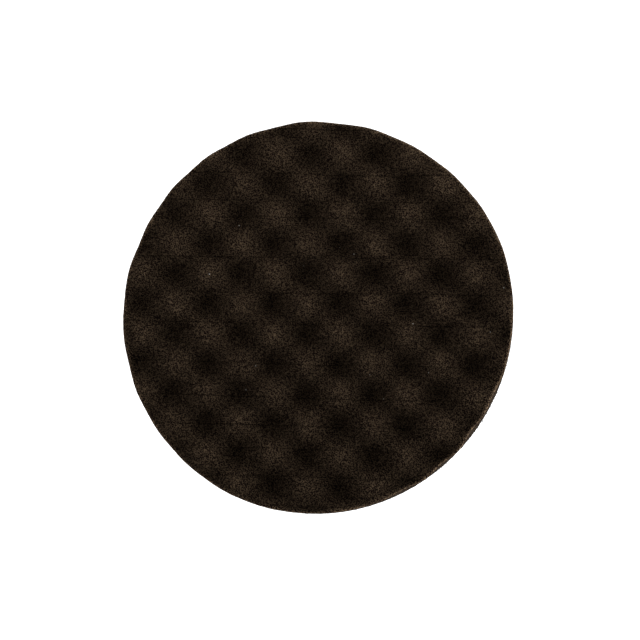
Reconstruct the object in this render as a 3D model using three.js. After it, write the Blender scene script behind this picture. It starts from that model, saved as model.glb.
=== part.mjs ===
// Waffle foam polishing pad with a hook-and-loop back, in millimetres, +Z up.
// The origin is the centre of the loop face, which presses on the backing plate, and the waffle
// face looks up. The pad is one laminate, cut out with a round die: loop pile, knitted ground
// cloth, hot-melt bond and foam, each seated flat on the one below.
import * as THREE from 'three';

// Driving dimensions.
const PAD_DIAMETER = 150; // across the cut edge, for a polisher of the 150 mm class
const PAD_THICKNESS = 25; // loop tips to the waffle's crests
const LOOP_HEIGHT = 1.6; // loop tips to the ground cloth
const CLOTH_THICKNESS = 0.5; // knitted ground cloth
const BOND_THICKNESS = 0.3; // hot-melt bond between cloth and foam
const LOOP_SETBACK = 0.3; // the cut loops stand back from the cloth's cut edge
const BOND_SETBACK = 0.4; // the bond stands back from the cut edge, as a fine seam
const WAFFLE_DEPTH = 4; // crest to hollow
const WAFFLE_PITCH_X = 25.6; // crest to crest along X, in one row
const WAFFLE_PITCH_Y = 23.1; // crest to crest along Y, in one column
const CREST_X = -6.0; // the crest nearest the pad's centre
const CREST_Y = 4.2;
const WALL_HOLLOW = 0.8; // how far the cut wall springs in at half its height
const EDGE_ROUND = 0.6; // round of the face's edge

// Facets of the lathed shapes.
const SEGMENTS = 120; // round the pad
const FACE_RINGS = 24; // rings of the waffle face, centre to edge
const WALL_STEPS = 6; // bands up the cut wall

// The stack, from the loop tips up.
const PAD_RADIUS = PAD_DIAMETER / 2;
const CLOTH_BOTTOM = LOOP_HEIGHT;
const BOND_BOTTOM = CLOTH_BOTTOM + CLOTH_THICKNESS;
const FOAM_BOTTOM = BOND_BOTTOM + BOND_THICKNESS;

const foamMaterial = new THREE.MeshStandardMaterial({ color: 0x1e1711, roughness: 0.95, metalness: 0 });
const bondMaterial = new THREE.MeshStandardMaterial({ color: 0x3a2f26, roughness: 0.5, metalness: 0 });
const clothMaterial = new THREE.MeshStandardMaterial({ color: 0x17171a, roughness: 0.85, metalness: 0 });
const loopMaterial = new THREE.MeshStandardMaterial({ color: 0x1b1b1e, roughness: 0.8, metalness: 0 });

// A profile of [radius, height] points, lathed about the pad's upright axis. The profile runs
// from the axis at the bottom, out and up, and back to the axis at the top.
function lathed(profile) {
  const points = profile.map(([radius, height]) => new THREE.Vector2(radius, height));
  return new THREE.LatheGeometry(points, SEGMENTS).rotateX(Math.PI / 2);
}

// A flat round layer of the laminate.
function layer(name, radius, bottom, thickness, material) {
  const top = bottom + thickness;
  const mesh = new THREE.Mesh(lathed([[0, bottom], [radius, bottom], [radius, top], [0, top]]), material);
  mesh.name = name;
  return mesh;
}

// Height of the waffle face over a point of the pad: crests and hollows in a chequerboard.
function faceHeight(x, y) {
  const across = Math.cos((2 * Math.PI * (x - CREST_X)) / WAFFLE_PITCH_X);
  const along = Math.cos((2 * Math.PI * (y - CREST_Y)) / WAFFLE_PITCH_Y);
  return PAD_THICKNESS - (WAFFLE_DEPTH / 2) * (1 - across * along);
}

// Outline of the foam before the waffle is cut: a flat base, a cut wall that is hollow at half
// its height, a rounded edge and a flat top at the height of the crests.
function foamProfile() {
  const profile = [[0, FOAM_BOTTOM]];
  const wallTop = PAD_THICKNESS - EDGE_ROUND;
  for (let step = 0; step <= WALL_STEPS; step++) {
    const share = step / WALL_STEPS;
    const radius = PAD_RADIUS - WALL_HOLLOW * Math.sin(Math.PI * share);
    profile.push([radius, THREE.MathUtils.lerp(FOAM_BOTTOM, wallTop, share)]);
  }
  const faceRadius = PAD_RADIUS - EDGE_ROUND;
  for (let ring = FACE_RINGS; ring >= 0; ring--) {
    profile.push([(faceRadius * ring) / FACE_RINGS, PAD_THICKNESS]);
  }
  return profile;
}

// The foam: every upright column of the flat-topped blank is drawn down to the waffle face.
function foamBody() {
  const geometry = lathed(foamProfile());
  const position = geometry.getAttribute('position');
  const blankHeight = PAD_THICKNESS - FOAM_BOTTOM;
  for (let i = 0; i < position.count; i++) {
    const cut = (faceHeight(position.getX(i), position.getY(i)) - FOAM_BOTTOM) / blankHeight;
    position.setZ(i, FOAM_BOTTOM + (position.getZ(i) - FOAM_BOTTOM) * cut);
  }
  geometry.computeVertexNormals();
  const mesh = new THREE.Mesh(geometry, foamMaterial);
  mesh.name = 'foam_body';
  return mesh;
}

function loopPile() {
  return layer('loop_pile', PAD_RADIUS - LOOP_SETBACK, 0, LOOP_HEIGHT, loopMaterial);
}

function backingCloth() {
  return layer('backing_cloth', PAD_RADIUS, CLOTH_BOTTOM, CLOTH_THICKNESS, clothMaterial);
}

function adhesiveFilm() {
  return layer('adhesive_film', PAD_RADIUS - BOND_SETBACK, BOND_BOTTOM, BOND_THICKNESS, bondMaterial);
}

const group = new THREE.Group();
group.add(loopPile(), backingCloth(), adhesiveFilm(), foamBody());

export default group;
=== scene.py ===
"""A waffle foam polishing pad with a hook-and-loop back, finished around its CAD frame."""
import math
import random

import bmesh
import bpy
import numpy as np
from mathutils import Matrix, Vector


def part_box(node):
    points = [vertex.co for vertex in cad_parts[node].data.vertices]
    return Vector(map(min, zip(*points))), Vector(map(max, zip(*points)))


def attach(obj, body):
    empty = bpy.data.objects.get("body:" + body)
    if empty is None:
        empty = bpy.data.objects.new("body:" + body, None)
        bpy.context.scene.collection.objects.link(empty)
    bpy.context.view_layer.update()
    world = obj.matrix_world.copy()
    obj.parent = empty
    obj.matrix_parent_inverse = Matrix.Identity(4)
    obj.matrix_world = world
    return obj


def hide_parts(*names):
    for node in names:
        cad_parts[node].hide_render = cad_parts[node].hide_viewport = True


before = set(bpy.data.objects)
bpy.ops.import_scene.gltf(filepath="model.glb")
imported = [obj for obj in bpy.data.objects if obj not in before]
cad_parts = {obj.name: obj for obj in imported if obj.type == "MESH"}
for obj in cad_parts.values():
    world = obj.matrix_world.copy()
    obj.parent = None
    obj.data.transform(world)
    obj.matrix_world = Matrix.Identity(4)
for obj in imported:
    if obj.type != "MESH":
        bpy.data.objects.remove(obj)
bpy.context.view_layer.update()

bl_info = {
    "name": "Waffle Foam Polishing Pad",
    "version": (1, 0, 0),
    "blender": (4, 5, 0),
    "location": "View3D > Sidebar > Polishing Pad",
    "description": "Builds a foam polishing pad, its bond, its knitted back and its raised loops",
    "category": "Mesh",
}

MM = 0.001
BODY = "root"  # the pad has no joints, so every piece rides on its one body
BAKE_MAP = "OFBake"

# Bearings are in degrees from +X towards +Y.
LEAN_BEARING = -42  # the side of the rim that the pad has leant on
TORN_TAGS = ((-27, 0.35), (-46, 0.40), (101, 0.30), (214, 0.35))  # bearing and reach in millimetres

# A foam vertex's run is 0 to 1 from the centre of the face to its edge, then 1 to 2 down the wall.
EDGE_RUN = 0.97  # where the band along the face's edge starts
FOOT_RUN = 1.97  # the foot of the wall, which the bond keeps smooth
HUB_RUN = 3.0  # the middle of the base

# How the loop pile is knitted.
GUIDE_BARS = 4
PILE_SEED = 11
LOOP_REACH = 0.55 * MM  # from the middle of a loop to the middle of each of its feet
FOOT_SINK = 0.02 * MM  # how far a loop's feet stand in the ground cloth

# Heights and radii of the laminate's layers, from the frame.
LOOP_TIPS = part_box("loop_pile")[0].z
CLOTH_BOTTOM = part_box("backing_cloth")[0].z
CLOTH_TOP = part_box("backing_cloth")[1].z
FOAM_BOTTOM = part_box("foam_body")[0].z
CREST_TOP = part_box("foam_body")[1].z
PAD_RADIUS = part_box("backing_cloth")[1].x
BOND_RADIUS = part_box("adhesive_film")[1].x
PILE_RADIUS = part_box("loop_pile")[1].x


def linear(srgb):
    """A colour given as sRGB hex, as the linear values that shaders take."""
    channels = [((srgb >> shift) & 255) / 255 for shift in (16, 8, 0)]
    return [c / 12.92 if c <= 0.04045 else ((c + 0.055) / 1.055) ** 2.4 for c in channels] + [1.0]


def length(name, description, millimetres):
    """A size that a user can change, shown in the scene's unit of length."""
    return bpy.props.FloatProperty(
        name=name,
        description=description,
        default=millimetres * MM,
        min=0.0,
        unit="LENGTH",
        precision=5,
    )


def signed_length(name, description, millimetres):
    """A place along an axis, which may be below zero."""
    return bpy.props.FloatProperty(
        name=name,
        description=description,
        default=millimetres * MM,
        unit="LENGTH",
        precision=5,
    )


def colour(name, description, srgb):
    """A colour that a user can change."""
    return bpy.props.FloatVectorProperty(
        name=name,
        description=description,
        default=linear(srgb),
        size=4,
        min=0.0,
        max=1.0,
        subtype="COLOR",
    )


class PadSizes(bpy.types.PropertyGroup):
    """Sizes of the pad's foam and loop fabric."""

    waffle_depth: length("Waffle depth", "Crest to hollow of the polishing face", 4.0)
    pitch_x: length("Waffle pitch X", "Crest to crest in one row", 25.6)
    pitch_y: length("Waffle pitch Y", "Crest to crest in one column", 23.1)
    crest_x: signed_length("Crest X", "The crest nearest the pad's centre", -6.0)
    crest_y: signed_length("Crest Y", "The crest nearest the pad's centre", 4.2)
    wall_hollow: length("Wall hollow", "How far the cut wall springs in at half its height", 0.8)
    edge_round: length("Edge round", "Round of the face's edge", 0.9)
    edge_tuck: length("Edge tuck", "How far a hollow draws the face's edge in where it runs out", 0.10)
    lean_tuck: length("Lean tuck", "The same, on the side that the pad has leant on", 1.25)
    lean_bulge: length("Lean bulge", "How far a crest of the edge stands out on that side", 1.00)
    facet: length("Foam facet", "Spacing of the foam's vertices", 0.43)
    cell: length("Foam cell", "Width of the foam's cells as they are drawn", 0.72)
    torn_depth: length("Torn depth", "Relief of the foam's cut skin", 0.30)
    wale_pitch: length("Wale pitch", "Spacing of the knitted rows", 1.3)
    yarn: length("Yarn width", "Thickness of one raised loop's yarn", 0.30)


class PadColours(bpy.types.PropertyGroup):
    """Colours of the pad's materials."""

    # The foam's colour at its strut ends, made paler and greyer in part as painted glints.
    strut: colour("Foam strut", "Cut ends of the foam's cell walls", 0x7A6752)
    # Painted shade: the dark of an open cell's depth.
    pore_shade: colour("Foam pore", "Depth of the foam's open cells", 0x1B1111)
    # Painted glints: near-white specks set into the foam's colour.
    window: colour("Foam window", "A cell's window that the blade left whole", 0xF4EDE2)
    bond: colour("Bond", "Hot-melt film where it lies thick", 0x2A1A0D)
    thin_bond: colour("Thin bond", "Hot-melt film where it lies thin", 0x5A3B1E)
    cloth: colour("Ground cloth", "Knitted nylon ground", 0x1B1B1C)
    loops: colour("Raised loops", "Nylon pile", 0x232324)


# ---------------------------------------------------------------- materials


def add(tree, kind, settings=(), inputs=()):
    """A new node with its settings, and its inputs linked from sockets or set to values."""
    made = tree.nodes.new(kind)
    for key, value in dict(settings).items():
        setattr(made, key, value)
    for key, value in dict(inputs).items():
        if isinstance(value, bpy.types.NodeSocket):
            tree.links.new(value, made.inputs[key])
        else:
            made.inputs[key].default_value = value
    return made


def blank_material(name):
    """A material whose node tree holds only its output."""
    material = bpy.data.materials.new(name)
    material.use_nodes = True
    material.node_tree.nodes.clear()
    output = material.node_tree.nodes.new("ShaderNodeOutputMaterial")
    return material, material.node_tree, output.inputs["Surface"]


def foam_material(sizes, colours):
    """Open-cell polyurethane foam, dyed through and cut by a blade.

    The blade leaves each cell as a pit ringed by strut ends, so the eye sees a fine grain; the pits
    carry painted shade, and the strut ends are made paler and greyer in part as painted glints. Real
    cells are about 0.4 mm wide; they are drawn nearly twice as wide, to show. A few near-white specks
    are painted glints, and the band knife leaves faint lines where it stepped.
    """
    tear_width = 0.50 * MM
    pit_depth = 0.5 * MM
    glint_spacing = 8 * MM
    line_spacing = 12 * MM
    line_waver = 4 * MM
    waver_length = 60 * MM
    patch_width = 11 * MM

    material, tree, surface = blank_material("open_cell_polyurethane_foam")
    place = add(tree, "ShaderNodeTexCoord").outputs["Object"]
    # The cells are bent out of their even rows before they are drawn.
    sway = add(
        tree,
        "ShaderNodeTexNoise",
        {},
        {"Vector": place, "Scale": 0.6 / sizes.cell, "Detail": 1.0},
    )
    swayed = add(
        tree,
        "ShaderNodeVectorMath",
        {"operation": "MULTIPLY_ADD"},
        {0: sway.outputs["Color"], 1: [0.5 * sizes.cell] * 3, 2: place},
    )
    cells = add(
        tree,
        "ShaderNodeTexVoronoi",
        {"feature": "DISTANCE_TO_EDGE"},
        {"Vector": swayed.outputs[0], "Scale": 1 / sizes.cell},
    )
    # "Distance" is in cells' widths, here and wherever a cell pattern is read.
    struts = add(
        tree,
        "ShaderNodeMapRange",
        {"interpolation_type": "SMOOTHSTEP"},
        {"Value": cells.outputs["Distance"], "From Max": 0.30, "To Min": 1.0, "To Max": 0.0},
    )
    grain = add(
        tree,
        "ShaderNodeTexNoise",
        {},
        {"Vector": place, "Scale": 1 / tear_width, "Detail": 2.0},
    )
    torn = add(
        tree,
        "ShaderNodeMapRange",
        {},
        {"Value": grain.outputs["Fac"], "From Min": 0.41, "From Max": 0.65, "To Max": 2.1},
    )
    strut_share = add(
        tree,
        "ShaderNodeMath",
        {"operation": "MULTIPLY", "use_clamp": True},
        {0: struts.outputs[0], 1: torn.outputs[0]},
    )
    # The pits take the dark colour as painted shade, and the strut ends the paler one.
    cut = add(
        tree,
        "ShaderNodeMix",
        {"data_type": "RGBA"},
        {0: strut_share.outputs[0], 6: colours.pore_shade, 7: colours.strut},
    )
    # Sparse near-white specks, painted glints, set into the foam's colour.
    spots = add(
        tree,
        "ShaderNodeTexVoronoi",
        {},
        {"Vector": place, "Scale": 1 / glint_spacing},
    )
    glint_share = add(
        tree,
        "ShaderNodeMapRange",
        {"interpolation_type": "SMOOTHSTEP"},
        {
            "Value": spots.outputs["Distance"],
            "From Min": 0.028,
            "From Max": 0.038,
            "To Min": 1.0,
            "To Max": 0.0,
        },
    )
    glinted = add(
        tree,
        "ShaderNodeMix",
        {"data_type": "RGBA"},
        {0: glint_share.outputs[0], 6: cut.outputs[2], 7: colours.window},
    )
    # The knife's lines run along X, unevenly spaced and a little wavy, and only on the face.
    across = add(tree, "ShaderNodeSeparateXYZ", {}, {0: place}).outputs["Y"]
    wander = add(
        tree,
        "ShaderNodeTexNoise",
        {},
        {"Vector": place, "Scale": 1 / waver_length, "Detail": 0.0},
    )
    wavy = add(
        tree,
        "ShaderNodeMath",
        {"operation": "MULTIPLY_ADD"},
        {0: wander.outputs["Fac"], 1: line_waver, 2: across},
    )
    knife = add(
        tree,
        "ShaderNodeTexVoronoi",
        {"voronoi_dimensions": "1D", "feature": "DISTANCE_TO_EDGE"},
        {"W": wavy.outputs[0], "Scale": 1 / line_spacing},
    )
    scored = add(
        tree,
        "ShaderNodeMapRange",
        {"interpolation_type": "SMOOTHSTEP"},
        {"Value": knife.outputs["Distance"], "From Max": 0.035, "To Min": 0.45, "To Max": 0.0},
    )
    on_face = add(tree, "ShaderNodeAttribute", {"attribute_name": "face_share"}).outputs["Fac"]
    score = add(
        tree,
        "ShaderNodeMath",
        {"operation": "MULTIPLY"},
        {0: scored.outputs[0], 1: on_face},
    )
    unscored = add(
        tree,
        "ShaderNodeMath",
        {"operation": "SUBTRACT"},
        {0: 1.0, 1: score.outputs[0]},
    )
    # Painted shade darkens the hollows and lightens the crests, a painted highlight runs along the
    # face's edge, and a slow drift of the dye tones the cut skin.
    tone = add(
        tree,
        "ShaderNodeTexNoise",
        {},
        {"Vector": place, "Scale": 1 / patch_width, "Detail": 2.0},
    )
    patch = add(
        tree,
        "ShaderNodeMapRange",
        {},
        {
            "Value": tone.outputs["Fac"],
            "From Min": 0.3,
            "From Max": 0.7,
            "To Min": 0.88,
            "To Max": 1.12,
        },
    )
    # The painted light: hollows darker, crests lighter, the face's edge brighter.
    painted_light = add(tree, "ShaderNodeAttribute", {"attribute_name": "painted_light"}).outputs["Fac"]
    painted_light_and_tone = add(
        tree,
        "ShaderNodeMath",
        {"operation": "MULTIPLY"},
        {0: painted_light, 1: patch.outputs[0]},
    )
    shade = add(
        tree,
        "ShaderNodeMath",
        {"operation": "MULTIPLY"},
        {0: painted_light_and_tone.outputs[0], 1: unscored.outputs[0]},
    )
    shaded = add(
        tree,
        "ShaderNodeMix",
        {"data_type": "RGBA", "blend_type": "MULTIPLY"},
        {0: 1.0, 6: glinted.outputs[2], 7: shade.outputs[0]},
    )
    relief = add(
        tree,
        "ShaderNodeMath",
        {"operation": "ADD"},
        {0: struts.outputs[0], 1: grain.outputs["Fac"]},
    )
    height = add(
        tree,
        "ShaderNodeMath",
        {"operation": "SUBTRACT"},
        {0: relief.outputs[0], 1: score.outputs[0]},
    )
    bump = add(
        tree,
        "ShaderNodeBump",
        {},
        {"Height": height.outputs[0], "Strength": 1.0, "Distance": pit_depth},
    )
    shader = add(
        tree,
        "ShaderNodeBsdfPrincipled",
        {},
        {
            "Base Color": shaded.outputs[2],
            "Roughness": 0.95,
            "IOR": 1.5,
            "Specular IOR Level": 0.02,
            "Sheen Weight": 0.04,
            "Sheen Roughness": 0.5,
            "Sheen Tint": linear(0xFFC898),
            "Normal": bump.outputs[0],
        },
    )
    tree.links.new(shader.outputs[0], surface)
    return material


def bond_material(colours):
    """Hot-melt polyurethane film, pressed while soft: a satin skin with small ripples."""
    ripple_width = 0.8 * MM
    ripple_depth = 0.08 * MM

    material, tree, surface = blank_material("hot_melt_polyurethane_film")
    place = add(tree, "ShaderNodeTexCoord").outputs["Object"]
    ripple = add(
        tree,
        "ShaderNodeTexNoise",
        {},
        {"Vector": place, "Scale": 1 / ripple_width, "Detail": 3.0},
    )
    tint = add(
        tree,
        "ShaderNodeMix",
        {"data_type": "RGBA"},
        {0: ripple.outputs["Fac"], 6: colours.bond, 7: colours.thin_bond},
    )
    gloss = add(
        tree,
        "ShaderNodeMapRange",
        {},
        {"Value": ripple.outputs["Fac"], "To Min": 0.35, "To Max": 0.6},
    )
    bump = add(
        tree,
        "ShaderNodeBump",
        {},
        {"Height": ripple.outputs["Fac"], "Strength": 0.5, "Distance": ripple_depth},
    )
    shader = add(
        tree,
        "ShaderNodeBsdfPrincipled",
        {},
        {
            "Base Color": tint.outputs[2],
            "Roughness": gloss.outputs[0],
            "IOR": 1.5,
            "Normal": bump.outputs[0],
        },
    )
    tree.links.new(shader.outputs[0], surface)
    return material


def lit_or_shaded(yarn_colour, gain):
    """A yarn's colour, darkened as painted shade or brightened as painted light."""
    return [min(1.0, gain * channel) for channel in yarn_colour[:3]] + [1.0]


def knit_material(name, yarn_colour, pitch, sheen):
    """Warp-knitted nylon: filament yarn in upright wales, matt across and softly bright at a slant.

    Real filaments are about 0.02 mm thick; they are drawn as bundles of 0.3 mm, to show.
    """
    bundle_width = 0.3 * MM
    yarn_relief = 0.1 * MM

    material, tree, surface = blank_material(name)
    place = add(tree, "ShaderNodeTexCoord").outputs["Object"]
    wales = add(
        tree,
        "ShaderNodeTexWave",
        {"wave_type": "BANDS", "bands_direction": "X"},
        # A wave texture repeats every 2 pi / 20 of its coordinate at scale 1.
        {"Vector": place, "Scale": 2 * math.pi / (20 * pitch), "Distortion": 1.2, "Detail": 1.0},
    )
    filaments = add(
        tree,
        "ShaderNodeTexNoise",
        {},
        {"Vector": place, "Scale": 1 / bundle_width, "Detail": 2.0},
    )
    weave = add(
        tree,
        "ShaderNodeMath",
        {"operation": "MULTIPLY"},
        {0: wales.outputs["Fac"], 1: filaments.outputs["Fac"]},
    )
    # Where the weave stands high the yarn is painted lighter and where it sinks darker: painted light
    # and shade on one yarn colour, which the bump follows too.
    tint = add(
        tree,
        "ShaderNodeMix",
        {"data_type": "RGBA"},
        {0: weave.outputs[0], 6: lit_or_shaded(yarn_colour, 0.45), 7: lit_or_shaded(yarn_colour, 2.0)},
    )
    bump = add(
        tree,
        "ShaderNodeBump",
        {},
        {"Height": weave.outputs[0], "Strength": 0.6, "Distance": yarn_relief},
    )
    shader = add(
        tree,
        "ShaderNodeBsdfPrincipled",
        {},
        {
            "Base Color": tint.outputs[2],
            "Roughness": 0.6,
            "IOR": 1.53,
            "Sheen Weight": sheen,
            "Sheen Roughness": 0.35,
            "Normal": bump.outputs[0],
        },
    )
    tree.links.new(shader.outputs[0], surface)
    return material


# ---------------------------------------------------------------- shapes


def uneven(x, y):
    """Slow unevenness of the rollers' squeeze over the sheet, from -1 to 1.

    Its lengths share no common measure, so it never repeats over one pad.
    """
    along_sway = np.sin(y / (31 * MM) + 0.6)
    across_sway = np.sin(x / (27 * MM) + 2.1)
    along = np.sin(x / (19 * MM) + 1.7 * along_sway)
    across = np.sin(y / (23 * MM) + 1.4 * across_sway)
    return (along + across) / 2


def waffle_share(x, y, sizes):
    """From 0 in a hollow of the waffle to 1 on a crest: crests and hollows in a chequerboard.

    The sheet creeps a little between the rollers, so the rows are never quite straight, and up to
    a seventh of the depth is lost where the squeeze is slack.
    """
    creep = 0.45 * MM
    elsewhere = 40 * MM  # so that the two creeps differ
    creep_x = creep * uneven(y, x)
    creep_y = creep * uneven(x + elsewhere, y)
    across = np.cos(2 * math.pi * (x + creep_x - sizes.crest_x) / sizes.pitch_x)
    along = np.cos(2 * math.pi * (y + creep_y - sizes.crest_y) / sizes.pitch_y)
    squeeze = 0.93 + 0.07 * uneven(x, y)
    return (1 + squeeze * across * along) / 2


def relaxed(angle):
    """How far the laminate reaches once it has eased out of round, as a share of the die's radius."""
    oval = 0.0070 * np.cos(2 * (angle - math.radians(55)))
    three_lobed = 0.0040 * np.cos(3 * (angle - math.radians(16)))
    four_lobed = 0.0017 * np.cos(4 * (angle - math.radians(10)))
    five_lobed = 0.0012 * np.cos(5 * (angle - math.radians(31)))
    return 1 + oval + three_lobed + four_lobed + five_lobed


def vertices_of(mesh):
    """A mesh's vertices as rows of x, y, z."""
    flat = np.empty(3 * len(mesh.vertices))
    mesh.vertices.foreach_get("co", flat)
    return flat.reshape(-1, 3)


def corner_vertices(mesh):
    """The vertex at each corner of a mesh's faces."""
    corners = np.empty(len(mesh.loops), dtype=np.int32)
    mesh.loops.foreach_get("vertex_index", corners)
    return corners


def move_vertices(mesh, places):
    """Moves a mesh's vertices to new places."""
    mesh.vertices.foreach_set("co", places.ravel())
    mesh.update()


def keep_attribute(mesh, name, values):
    """Keeps one number for each vertex, for the piece's material to read."""
    kept = mesh.attributes.new(name, "FLOAT", "POINT")
    kept.data.foreach_set("value", np.asarray(values, dtype=np.float32))


def keep_map(mesh, places):
    """Keeps a place on the bake's map for each corner of a mesh's faces."""
    layer = mesh.uv_layers.new(name=BAKE_MAP)
    layer.uv.foreach_set("vector", places.astype(np.float32).ravel())


def disc_of_triangles(rings):
    """A flat disc of even triangles, with its rings evenly spaced out to radius 1.

    A hexagon of six triangles is divided, and each of its hexagonal rings is then made round.
    """
    bm = bmesh.new()
    bmesh.ops.create_circle(bm, cap_ends=True, cap_tris=True, segments=6, radius=1.0)
    bmesh.ops.subdivide_edges(bm, edges=bm.edges[:], cuts=rings - 1, use_grid_fill=True)
    sector = math.pi / 3
    for vertex in bm.verts:
        reach = vertex.co.length
        if reach == 0:
            continue
        # The hexagon's corners lie at odd multiples of 30 degrees.
        turn = math.atan2(vertex.co.y, vertex.co.x) + sector / 2
        corner, past = divmod(turn, sector)
        ring = reach * math.cos(past - sector / 2) / math.cos(sector / 2)
        along_side = 0.5 + reach * math.sin(past - sector / 2) / ring
        angle = (corner + along_side) * sector - sector / 2
        vertex.co = (ring * math.cos(angle), ring * math.sin(angle), 0)
    return bm


def finished_object(name, bm, material, nodes):
    """A named object at the origin, riding on the pad's body, with its normals turned outwards."""
    bmesh.ops.recalc_face_normals(bm, faces=bm.faces[:])
    for face in bm.faces:
        face.smooth = True
    mesh = bpy.data.meshes.new(name)
    bm.to_mesh(mesh)
    bm.free()
    mesh.materials.append(material)
    piece = bpy.data.objects.new(name, mesh)
    bpy.context.scene.collection.objects.link(piece)
    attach(piece, BODY)
    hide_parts(*nodes)
    return piece


def map_from_above(mesh, radius):
    """A map of a flat piece, seen along its axis, with a little room round it."""
    span = 2.04 * radius
    keep_map(mesh, vertices_of(mesh)[corner_vertices(mesh), :2] / span + 0.5)


# ---------------------------------------------------------------- foam body


def foam_blank(sizes):
    """The foam's skin, still flat: a disc for the face, a wall drawn down from it and a base.

    Each vertex keeps its run, from the centre of the face to the middle of the base.
    """
    bm = disc_of_triangles(round(PAD_RADIUS / sizes.facet))
    run = bm.verts.layers.float.new("run")
    for vertex in bm.verts:
        vertex[run] = vertex.co.length
    rows = round((CREST_TOP - FOAM_BOTTOM) / sizes.facet)
    rim = [edge for edge in bm.edges if edge.is_boundary]
    for row in range(1, rows + 1):
        drawn = bmesh.ops.extrude_edge_only(bm, edges=rim)["geom"]
        rim = [item for item in drawn if isinstance(item, bmesh.types.BMEdge)]
        for vertex in drawn:
            if isinstance(vertex, bmesh.types.BMVert):
                vertex[run] = 1 + row / rows
    base = bmesh.ops.contextual_create(bm, geom=rim)["faces"]
    hub = bmesh.ops.poke(bm, faces=base)["verts"][0]
    hub[run] = HUB_RUN
    return bm


def torn_tags(angle, wall):
    """How far the wall stands out at the tags that the die tore near its foot."""
    half_width = 0.6 * MM
    middle = 0.88  # of the way down the wall
    half_height = 0.07
    reach = np.zeros_like(angle)
    for bearing, tag in TORN_TAGS:
        beside = PAD_RADIUS * np.sin(angle - math.radians(bearing)) / half_width
        facing = np.cos(angle - math.radians(bearing)) > 0
        hump = np.exp(-beside ** 2 - ((wall - middle) / half_height) ** 2)
        reach += np.where(facing, tag * MM * hump, 0)
    return reach


def edge_tucked(angle, sizes):
    """How far the rim of the face draws in, from its angle about the pad's axis.

    Hollows that run out over the edge draw it in a little. On the side that the pad has leant
    on, they draw it in further and the crests between them stand out. That falls to half about
    21 degrees to each side.
    """
    lean_narrowness = 40
    rim_share = waffle_share(PAD_RADIUS * np.cos(angle), PAD_RADIUS * np.sin(angle), sizes)
    lean = np.cos((angle - math.radians(LEAN_BEARING)) / 2) ** lean_narrowness
    leant = lean * (sizes.lean_tuck * (1 - rim_share) - sizes.lean_bulge * rim_share)
    return sizes.edge_tuck * (1 - rim_share) + leant


def foam_places(run, angle, sizes):
    """Where a vertex of the foam lies, from its run and its angle about the pad's axis."""
    wall = np.clip(run - 1, 0, 1)
    # Along the face the blade's cut is flat, and then it turns down round the edge.
    flat_run = PAD_RADIUS - sizes.edge_round
    travel = np.minimum(run, 1) * (flat_run + sizes.edge_round * math.pi / 2)
    bend = np.clip((travel - flat_run) / sizes.edge_round, 0, math.pi / 2)
    radius = np.minimum(travel, flat_run) + sizes.edge_round * np.sin(bend)
    drop = sizes.edge_round * (1 - np.cos(bend))
    radius = radius * (1 - edge_tucked(angle, sizes) / PAD_RADIUS * (1 - wall) ** 2)
    radius = radius - sizes.wall_hollow * np.sin(math.pi * wall) + torn_tags(angle, wall)
    radius = np.where(run < HUB_RUN, radius * relaxed(angle), 0.0)
    x = radius * np.cos(angle)
    y = radius * np.sin(angle)
    blank_height = (CREST_TOP - drop - FOAM_BOTTOM) * (1 - wall)
    face_height = CREST_TOP - sizes.waffle_depth * (1 - waffle_share(x, y, sizes))
    z = FOAM_BOTTOM + blank_height * (face_height - FOAM_BOTTOM) / (CREST_TOP - FOAM_BOTTOM)
    return np.stack([x, y, z], axis=1)


def foam_painted_light(places, run, sizes):
    """Painted light on the foam's colour: hollows darker and crests lighter as painted shade, a
    painted highlight along the face's edge, and a darker wall.
    """
    hollow_shade = 0.50
    crest_light = 0.57
    wall_tone = 0.42
    edge_highlight_width = 2.2 * MM  # of the band round the face's edge that carries the painted highlight
    edge_highlight_drop = 0.6 * MM  # how far down the wall the painted highlight fades
    share = waffle_share(places[:, 0], places[:, 1], sizes)
    edge_highlight = np.clip(1 - (1 - run) * PAD_RADIUS / edge_highlight_width, 0, 1) ** 1.5
    edge_highlight_gain = 2.3 - 0.7 * share  # the painted highlight is palest where a hollow's thin lip runs out
    # Hollows are painted darker and crests lighter as painted shade, and the edge band is a painted
    # highlight.
    face = hollow_shade + crest_light * share ** 1.8 + edge_highlight_gain * edge_highlight
    edge_highlight_fade = np.exp(-np.maximum(run - 1, 0) * (CREST_TOP - FOAM_BOTTOM) / edge_highlight_drop)
    return np.where(run <= 1, face, wall_tone + (face - wall_tone) * edge_highlight_fade)


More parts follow.
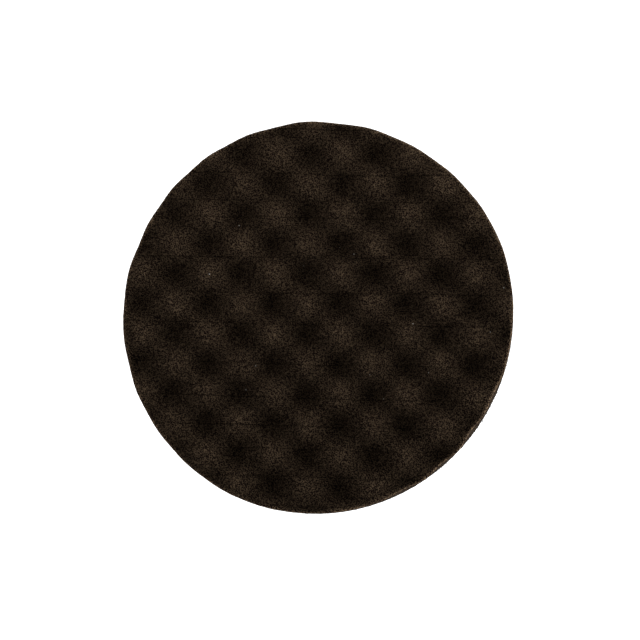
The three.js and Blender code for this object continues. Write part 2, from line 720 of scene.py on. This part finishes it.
def foam_map(mesh, run):
    """A map for the foam: its face as a disc, its wall as two strips below, its base in a corner."""
    face_middle = (0.5, 0.565)
    face_reach = 0.43
    base_middle = (0.055, 0.945)
    base_reach = 0.05
    upper_strip = 0.065
    lower_strip = 0.005
    strip_height = 0.055
    margin = 0.01

    corners = corner_vertices(mesh)
    places = vertices_of(mesh)[corners]
    totals = np.empty(len(mesh.polygons), dtype=np.int32)
    mesh.polygons.foreach_get("loop_total", totals)
    face_of = np.repeat(np.arange(len(totals)), totals)
    mean_x, mean_y = [np.bincount(face_of, places[:, axis]) / totals for axis in range(2)]
    mean_run = np.bincount(face_of, run[corners]) / totals
    from_middle = places[:, :2] / PAD_RADIUS
    uv = face_middle + face_reach * from_middle
    # Round the wall, each corner's angle is counted from its own face, so none wraps round.
    middle = np.arctan2(mean_y, mean_x)[face_of]
    beside = np.arctan2(places[:, 1], places[:, 0]) - middle
    beside = (beside + math.pi) % (2 * math.pi) - math.pi
    turn = (middle + beside) / math.pi
    upper = middle >= 0
    along = margin + (1 - 2 * margin) * np.where(upper, turn, turn + 1)
    rise = strip_height * (places[:, 2] - FOAM_BOTTOM) / (CREST_TOP - FOAM_BOTTOM)
    wall_uv = np.stack([along, np.where(upper, upper_strip, lower_strip) + rise], axis=1)
    base_uv = base_middle + base_reach * from_middle
    on_wall = ((mean_run > 1) & (mean_run <= 2))[face_of]
    on_base = (mean_run > 2)[face_of]
    uv[on_wall] = wall_uv[on_wall]
    uv[on_base] = base_uv[on_base]
    keep_map(mesh, uv)


def skin_to_roughen(piece, run):
    """A vertex group of the foam's cut skin, torn less at the face's edge and on the wall."""
    cut_skin = piece.vertex_groups.new(name="cut_skin")
    reliefs = (1.0, 0.7, 0.4)
    ring_width = 0.01  # of the pad's radius
    ring = np.clip((run - EDGE_RUN) / ring_width, 0, len(reliefs) - 1).astype(int)
    for rank, relief in enumerate(reliefs):
        torn = np.nonzero((ring == rank) & (run < FOOT_RUN))[0]
        cut_skin.add(torn.tolist(), relief, "REPLACE")
    return cut_skin


def rough_cut(piece, name, kind, grain, depth, skin):
    """Roughens the foam's cut skin with a relief of one grain."""
    texture = bpy.data.textures.new(name, kind)
    texture.noise_scale = grain
    modifier = piece.modifiers.new(name, "DISPLACE")
    modifier.texture = texture
    modifier.texture_coords = "LOCAL"
    modifier.vertex_group = skin.name
    modifier.strength = depth
    modifier.mid_level = 0.5


class PAD_OT_foam_body(bpy.types.Operator):
    """Builds the waffle-cut foam disc"""

    bl_idname = "pad.foam_body"
    bl_label = "Foam Body"

    def execute(self, context):
        sizes = context.scene.pad_sizes
        material = foam_material(sizes, context.scene.pad_colours)
        piece = finished_object("foam_waffle", foam_blank(sizes), material, ["foam_body"])
        mesh = piece.data
        run = np.empty(len(mesh.vertices), dtype=np.float32)
        mesh.attributes["run"].data.foreach_get("value", run)
        flat = vertices_of(mesh)
        places = foam_places(run, np.arctan2(flat[:, 1], flat[:, 0]), sizes)
        move_vertices(mesh, places)
        # Painted shade in the hollows, lighter crests and a painted highlight along the face's edge,
        # kept for the material.
        keep_attribute(mesh, "painted_light", foam_painted_light(places, run, sizes))
        keep_attribute(mesh, "face_share", np.clip((1 - run) / (1 - EDGE_RUN), 0, 1))
        foam_map(mesh, run)
        mesh.attributes.remove(mesh.attributes["run"])
        skin = skin_to_roughen(piece, run)
        depth = sizes.torn_depth
        rough_cut(piece, "torn_lumps", "CLOUDS", grain=2.4 * MM, depth=0.5 * depth, skin=skin)
        rough_cut(piece, "cut_cells", "VORONOI", grain=1.1 * MM, depth=depth, skin=skin)
        return {"FINISHED"}


# ---------------------------------------------------------------- bond


def film_profile():
    """The film's half section, from its axis at the bottom to its axis at the top.

    Its outer edge is a round bead, and a ring inside it keeps the bead's swelling to the rim.
    """
    bead = (FOAM_BOTTOM - CLOTH_TOP) / 2
    bead_middle = BOND_RADIUS - bead
    ring_radius = 0.9 * BOND_RADIUS
    steps = 6
    profile = [(0.0, CLOTH_TOP), (ring_radius, CLOTH_TOP), (bead_middle, CLOTH_TOP)]
    for step in range(1, steps):
        angle = -math.pi / 2 + math.pi * step / steps
        height = CLOTH_TOP + bead + bead * math.sin(angle)
        profile.append((bead_middle + bead * math.cos(angle), height))
    profile += [(bead_middle, FOAM_BOTTOM), (ring_radius, FOAM_BOTTOM), (0.0, FOAM_BOTTOM)]
    return profile


class PAD_OT_adhesive_film(bpy.types.Operator):
    """Builds the hot-melt film, with its bead squeezed out a little along the cut edge"""

    bl_idname = "pad.adhesive_film"
    bl_label = "Adhesive Film"

    def execute(self, context):
        bm = bmesh.new()
        points = [bm.verts.new((radius, 0, height)) for radius, height in film_profile()]
        edges = [bm.edges.new(pair) for pair in zip(points, points[1:])]
        bmesh.ops.spin(
            bm,
            geom=points + edges,
            cent=(0, 0, 0),
            axis=(0, 0, 1),
            angle=2 * math.pi,
            steps=480,
            use_merge=True,
        )
        bmesh.ops.remove_doubles(bm, verts=bm.verts[:], dist=0.001 * MM)
        material = bond_material(context.scene.pad_colours)
        piece = finished_object("hot_melt_film", bm, material, ["adhesive_film"])
        places = vertices_of(piece.data)
        angle = np.arctan2(places[:, 1], places[:, 0])
        reach = np.hypot(places[:, 0], places[:, 1]) / BOND_RADIUS
        # The bead swells and thins round the edge, where it was squeezed out.
        swell = np.sin(37 * angle) + np.sin(61 * angle + 1.3) + np.sin(101 * angle + 0.4)
        squeeze = 0.10 * MM * swell / 3
        growth = relaxed(angle) + squeeze / BOND_RADIUS * reach ** 8
        places[:, :2] *= growth[:, None]
        move_vertices(piece.data, places)
        map_from_above(piece.data, BOND_RADIUS)
        return {"FINISHED"}


# ---------------------------------------------------------------- backing cloth


class PAD_OT_backing_cloth(bpy.types.Operator):
    """Builds the knitted ground cloth, ribbed by its wales on the loop side"""

    bl_idname = "pad.backing_cloth"
    bl_label = "Backing Cloth"

    def execute(self, context):
        sizes = context.scene.pad_sizes
        rib_height = 0.05 * MM
        fray_reach = 0.09 * MM
        bm = disc_of_triangles(rings=120)
        bmesh.ops.scale(bm, verts=bm.verts[:], vec=(PAD_RADIUS, PAD_RADIUS, 1))
        bmesh.ops.translate(bm, verts=bm.verts[:], vec=(0, 0, CLOTH_TOP))
        bmesh.ops.solidify(bm, geom=bm.faces[:], thickness=CLOTH_TOP - CLOTH_BOTTOM)
        yarn_colour = context.scene.pad_colours.cloth
        material = knit_material(
            "warp_knitted_nylon_ground", yarn_colour, pitch=sizes.wale_pitch, sheen=0.3
        )
        piece = finished_object("knitted_ground_cloth", bm, material, ["backing_cloth"])
        places = vertices_of(piece.data)
        angle = np.arctan2(places[:, 1], places[:, 0])
        under = places[:, 2] < (CLOTH_BOTTOM + CLOTH_TOP) / 2
        rib = rib_height * (1 - np.cos(2 * math.pi * places[:, 0] / sizes.wale_pitch)) / 2
        places[:, 2] += np.where(under, rib, 0)
        reach = np.hypot(places[:, 0], places[:, 1]) / PAD_RADIUS
        fray = fray_reach * (np.sin(173 * angle) + np.sin(97 * angle + 2.0)) / 2
        growth = relaxed(angle) + fray / PAD_RADIUS * reach ** 12
        places[:, :2] *= growth[:, None]
        move_vertices(piece.data, places)
        map_from_above(piece.data, PAD_RADIUS)
        return {"FINISHED"}


# ---------------------------------------------------------------- loop pile


def yarn_loop(sizes):
    """One raised loop: an arch of yarn that hangs from its two feet, before it is stretched."""
    bm = bmesh.new()
    bmesh.ops.create_circle(bm, segments=3, radius=sizes.yarn / 2)
    bmesh.ops.translate(bm, verts=bm.verts[:], vec=(LOOP_REACH, 0, 0))
    bmesh.ops.spin(
        bm, geom=bm.verts[:] + bm.edges[:], cent=(0, 0, 0), axis=(0, 1, 0), angle=math.pi, steps=6
    )
    bmesh.ops.holes_fill(bm, edges=bm.edges[:], sides=3)
    return bm


def loops_of_bar(sizes, material, bar):
    """All loops of one guide bar, which knits every second wale, each with its own lean and turn."""
    draw = random.Random(PILE_SEED + bar)
    one = bpy.data.meshes.new("one_loop")
    template = yarn_loop(sizes)
    template.to_mesh(one)
    template.free()
    natural_depth = LOOP_REACH + sizes.yarn / 2
    pile_height = CLOTH_BOTTOM - LOOP_TIPS
    bm = bmesh.new()
    count = math.ceil(PILE_RADIUS / sizes.wale_pitch)
    for wale in range(-count // 2, count // 2 + 1):
        for course in range(-count, count + 1):
            # The bars share out the two wales between them, and neighbours are half a course apart.
            x = 2 * (wale + bar / GUIDE_BARS) * sizes.wale_pitch + draw.uniform(-0.2, 0.2) * MM
            y = (course + (wale + bar) % 2 / 2) * sizes.wale_pitch + draw.uniform(-0.25, 0.25) * MM
            turn = draw.gauss(0.0, 0.6)
            lean = draw.uniform(0.1, 0.5)
            depth = pile_height * draw.uniform(0.82, 0.99)
            if math.hypot(x, y) > PILE_RADIUS - LOOP_REACH:
                continue
            stretch = Matrix.Diagonal((draw.uniform(0.8, 1.1), 1.0, depth / natural_depth, 1.0))
            slant = Matrix.Shear("XY", 4, (draw.uniform(-0.2, 0.2), -lean))
            at = Matrix.Translation((x, y, CLOTH_BOTTOM + FOOT_SINK))
            move = at @ Matrix.Rotation(turn, 4, "Z") @ slant @ stretch
            one.transform(move)
            bm.from_mesh(one)
            one.transform(move.inverted())
    bpy.data.meshes.remove(one)
    piece = finished_object(f"raised_loops_bar_{bar + 1}", bm, material, ["loop_pile"])
    map_from_above(piece.data, PILE_RADIUS)


class PAD_OT_loop_pile(bpy.types.Operator):
    """Builds the raised loops that a backing plate's hooks grip, one piece for each guide bar"""

    bl_idname = "pad.loop_pile"
    bl_label = "Loop Pile"

    def execute(self, context):
        sizes = context.scene.pad_sizes
        yarn_colour = context.scene.pad_colours.loops
        material = knit_material(
            "raised_nylon_loops", yarn_colour, pitch=0.6 * sizes.wale_pitch, sheen=0.5
        )
        for bar in range(GUIDE_BARS):
            loops_of_bar(sizes, material, bar)
        return {"FINISHED"}


# ---------------------------------------------------------------- stage


def light_table(size):
    """A backlit white acrylic table, bright enough to read as pure white.

    It lies just under the loops' tips, so that nothing shares its plane.
    """
    material, tree, surface = blank_material("backlit_white_acrylic")
    glow = add(tree, "ShaderNodeEmission", {}, {"Color": (1, 1, 1, 1), "Strength": 1.6})
    tree.links.new(glow.outputs[0], surface)
    bm = bmesh.new()
    bmesh.ops.create_grid(bm, x_segments=1, y_segments=1, size=size / 2)
    bmesh.ops.translate(bm, verts=bm.verts[:], vec=(0, 0, LOOP_TIPS - 0.05 * MM))
    mesh = bpy.data.meshes.new("light_table")
    bm.to_mesh(mesh)
    bm.free()
    mesh.materials.append(material)
    table = bpy.data.objects.new("light_table", mesh)
    bpy.context.scene.collection.objects.link(table)


def studio_room():
    """A pale room: white round the horizon, where the backdrop is, and dim overhead."""
    world = bpy.data.worlds.new("studio_room")
    world.use_nodes = True
    tree = world.node_tree
    tree.nodes.clear()
    direction = add(tree, "ShaderNodeTexCoord").outputs["Generated"]
    rise = add(tree, "ShaderNodeSeparateXYZ", {}, {0: direction}).outputs["Z"]
    brightness = add(
        tree,
        "ShaderNodeMapRange",
        {"interpolation_type": "SMOOTHSTEP"},
        {"Value": rise, "From Min": 0.08, "From Max": 0.35, "To Min": 1.1, "To Max": 0.01},
    )
    background = add(
        tree,
        "ShaderNodeBackground",
        {},
        {"Color": (1, 1, 1, 1), "Strength": brightness.outputs[0]},
    )
    output = add(tree, "ShaderNodeOutputWorld")
    tree.links.new(background.outputs[0], output.inputs["Surface"])
    bpy.context.scene.world = world


def direction_from(bearing, elevation):
    """A unit vector towards a bearing, counted from +X towards +Y, and an elevation, in degrees."""
    turn = math.radians(bearing)
    rise = math.radians(elevation)
    flat = math.cos(rise)
    return Vector((math.cos(turn) * flat, math.sin(turn) * flat, math.sin(rise)))


def softbox(name, bearing, elevation, distance, size, power):
    """A softbox that faces the pad, its size its width and height in metres, its power in watts."""
    light = bpy.data.lights.new(name, "AREA")
    light.shape = "RECTANGLE"
    light.size, light.size_y = size
    light.energy = power
    lamp = bpy.data.objects.new(name, light)
    towards = direction_from(bearing, elevation)
    lamp.location = towards * distance
    lamp.rotation_mode = "QUATERNION"
    lamp.rotation_quaternion = towards.to_track_quat("Z", "Y")
    bpy.context.scene.collection.objects.link(lamp)


def overhead_camera(bearing, tilt, roll, distance, frame_width, aim):
    """A long lens almost straight above the pad, tilted from the upright towards a bearing.

    The top of its picture is +Y, but for its roll, and the frame is as wide as given at the
    face's height.
    """
    camera = bpy.data.cameras.new("overhead_camera")
    camera.sensor_width = 36.0
    camera.lens = camera.sensor_width * distance / frame_width
    back = direction_from(bearing, 90 - tilt)
    right = Vector((0, 1, 0)).cross(back).normalized()
    up = back.cross(right)
    holder = bpy.data.objects.new("overhead_camera", camera)
    turn = Matrix((right, up, back)).transposed() @ Matrix.Rotation(math.radians(roll), 3, "Z")
    holder.matrix_world = Matrix.Translation(aim + back * distance) @ turn.to_4x4()
    bpy.context.scene.collection.objects.link(holder)
    bpy.context.scene.camera = holder


class PAD_OT_stage(bpy.types.Operator):
    """Sets the light table, the softboxes and the camera"""

    bl_idname = "pad.stage"
    bl_label = "Stage"

    def execute(self, context):
        light_table(size=8.0)
        studio_room()
        softbox(
            "low_strip_softbox", bearing=3, elevation=14, distance=2.4, size=(1.65, 0.6), power=28
        )
        softbox(
            "near_fill_softbox",
            bearing=120,
            elevation=50,
            distance=0.40,
            size=(0.25, 0.25),
            power=0.335,
        )
        aim = Vector((1.29 * MM, -1.52 * MM, CREST_TOP))
        overhead_camera(
            bearing=-47, tilt=5, roll=0.87, distance=1.2, frame_width=244.57 * MM, aim=aim
        )
        context.scene.view_settings.view_transform = "Standard"
        return {"FINISHED"}


class PAD_PT_sidebar(bpy.types.Panel):
    """Lists the pad's pieces and sizes in the 3D view's sidebar"""

    bl_idname = "PAD_PT_sidebar"
    bl_label = "Polishing Pad"
    bl_space_type = "VIEW_3D"
    bl_region_type = "UI"
    bl_category = "Polishing Pad"

    def draw(self, context):
        for step in STEPS:
            self.layout.operator(step.bl_idname)
        for group in (context.scene.pad_sizes, context.scene.pad_colours):
            column = self.layout.column()
            for name in group.__annotations__:
                column.prop(group, name)


STEPS = (PAD_OT_stage, PAD_OT_foam_body, PAD_OT_adhesive_film, PAD_OT_backing_cloth, PAD_OT_loop_pile)
CLASSES = (PadSizes, PadColours, *STEPS, PAD_PT_sidebar)


def register():
    for cls in CLASSES:
        bpy.utils.register_class(cls)
    bpy.types.Scene.pad_sizes = bpy.props.PointerProperty(type=PadSizes)
    bpy.types.Scene.pad_colours = bpy.props.PointerProperty(type=PadColours)


def unregister():
    del bpy.types.Scene.pad_sizes
    del bpy.types.Scene.pad_colours
    for cls in reversed(CLASSES):
        bpy.utils.unregister_class(cls)


def main():
    register()
    bpy.ops.pad.stage()
    bpy.ops.pad.foam_body()
    bpy.ops.pad.adhesive_film()
    bpy.ops.pad.backing_cloth()
    bpy.ops.pad.loop_pile()


if __name__ == "__main__":
    main()
